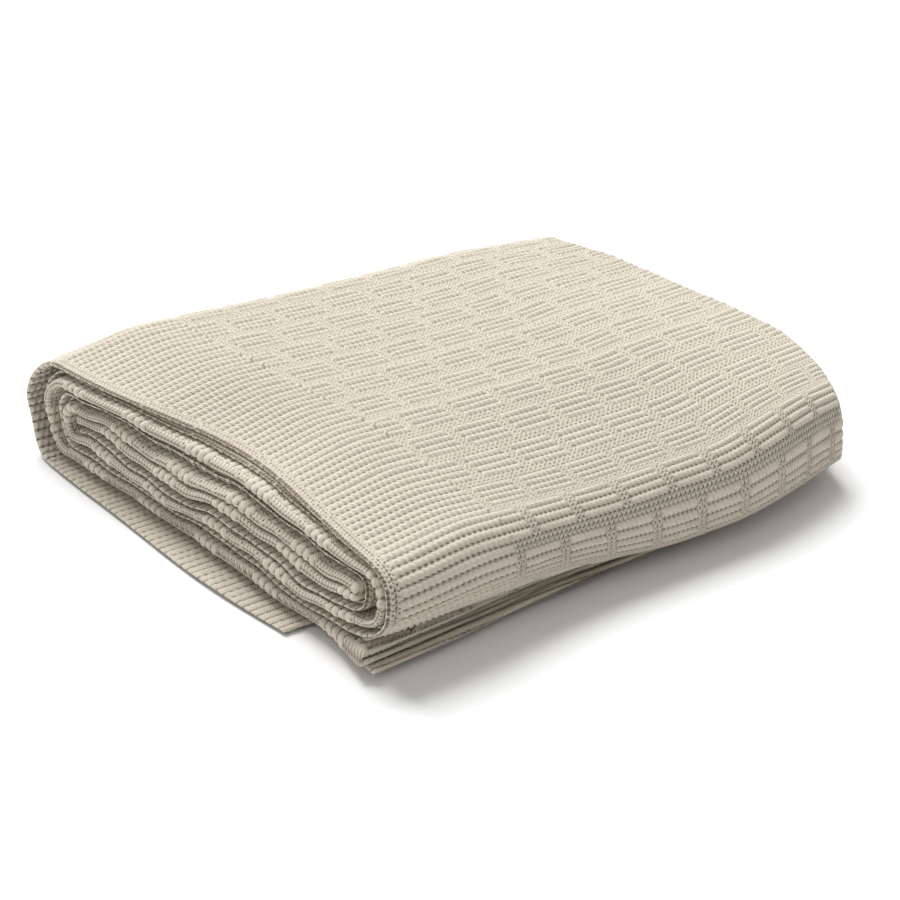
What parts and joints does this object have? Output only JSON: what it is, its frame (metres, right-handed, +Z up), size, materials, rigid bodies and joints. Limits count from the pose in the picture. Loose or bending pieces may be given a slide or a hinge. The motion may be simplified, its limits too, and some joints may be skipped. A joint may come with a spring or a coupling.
{
  "type": "folded throw blanket",
  "caption": "Cream knitted throw with raised basket blocks and ridged borders, folded lengthways and rolled flat into a soft slab.",
  "frame": {"origin": "middle of the bounding box, on the surface that the throw lies on", "axes": "+X along the roll towards its end folds, -Y towards the patterned front bulge, +Z up"},
  "size_m": [0.382, 0.37, 0.0677],
  "materials": {
    "knit": "matt cotton knit",
    "knit_fold": "matt cotton knit, stretched over a fold"
  },
  "bodies": {
    "tail": {"tail_ply_1": "knit", "tail_ply_2": "knit", "tail_ply_3": "knit", "tail_ply_4": "knit", "tail_rim": "knit_fold", "tail_end_fold": "knit_fold", "outer_back_bend_ply_1": "knit", "outer_back_bend_ply_2": "knit", "outer_back_bend_ply_3": "knit", "outer_back_bend_ply_4": "knit", "outer_back_bend_rim": "knit_fold", "outer_back_bend_end_fold": "knit_fold"},
    "roll": {"core_ply_1": "knit", "core_ply_2": "knit", "core_ply_3": "knit", "core_ply_4": "knit", "upper_ply_1": "knit", "upper_ply_2": "knit", "upper_ply_3": "knit", "upper_ply_4": "knit", "lower_ply_1": "knit", "lower_ply_2": "knit", "lower_ply_3": "knit", "lower_ply_4": "knit", "top_ply_1": "knit", "top_ply_2": "knit", "top_ply_3": "knit", "top_ply_4": "knit", "inner_front_bend_ply_1": "knit", "inner_front_bend_ply_2": "knit", "inner_front_bend_ply_3": "knit", "inner_front_bend_ply_4": "knit", "inner_back_bend_ply_1": "knit", "inner_back_bend_ply_2": "knit", "inner_back_bend_ply_3": "knit", "inner_back_bend_ply_4": "knit", "outer_front_bend_ply_1": "knit", "outer_front_bend_ply_2": "knit", "outer_front_bend_ply_3": "knit", "outer_front_bend_ply_4": "knit", "core_rim": "knit_fold", "upper_rim": "knit_fold", "lower_rim": "knit_fold", "top_rim": "knit_fold", "inner_front_bend_rim": "knit_fold", "inner_back_bend_rim": "knit_fold", "outer_front_bend_rim": "knit_fold", "core_end_fold": "knit_fold", "upper_end_fold": "knit_fold", "lower_end_fold": "knit_fold", "top_end_fold": "knit_fold", "inner_front_bend_end_fold": "knit_fold", "inner_back_bend_end_fold": "knit_fold", "outer_front_bend_end_fold": "knit_fold"}
  },
  "joints": [
    {"name": "first_turn", "type": "hinge", "parent": "tail", "child": "roll", "pos_m": [0, 0.16615, 0.03385], "axis": [-1, 0, 0], "range_deg": [0, 179.5], "deforming": ["outer_back_bend_ply_1", "outer_back_bend_ply_2", "outer_back_bend_ply_3", "outer_back_bend_ply_4", "outer_back_bend_rim", "outer_back_bend_end_fold"]}
  ]
}
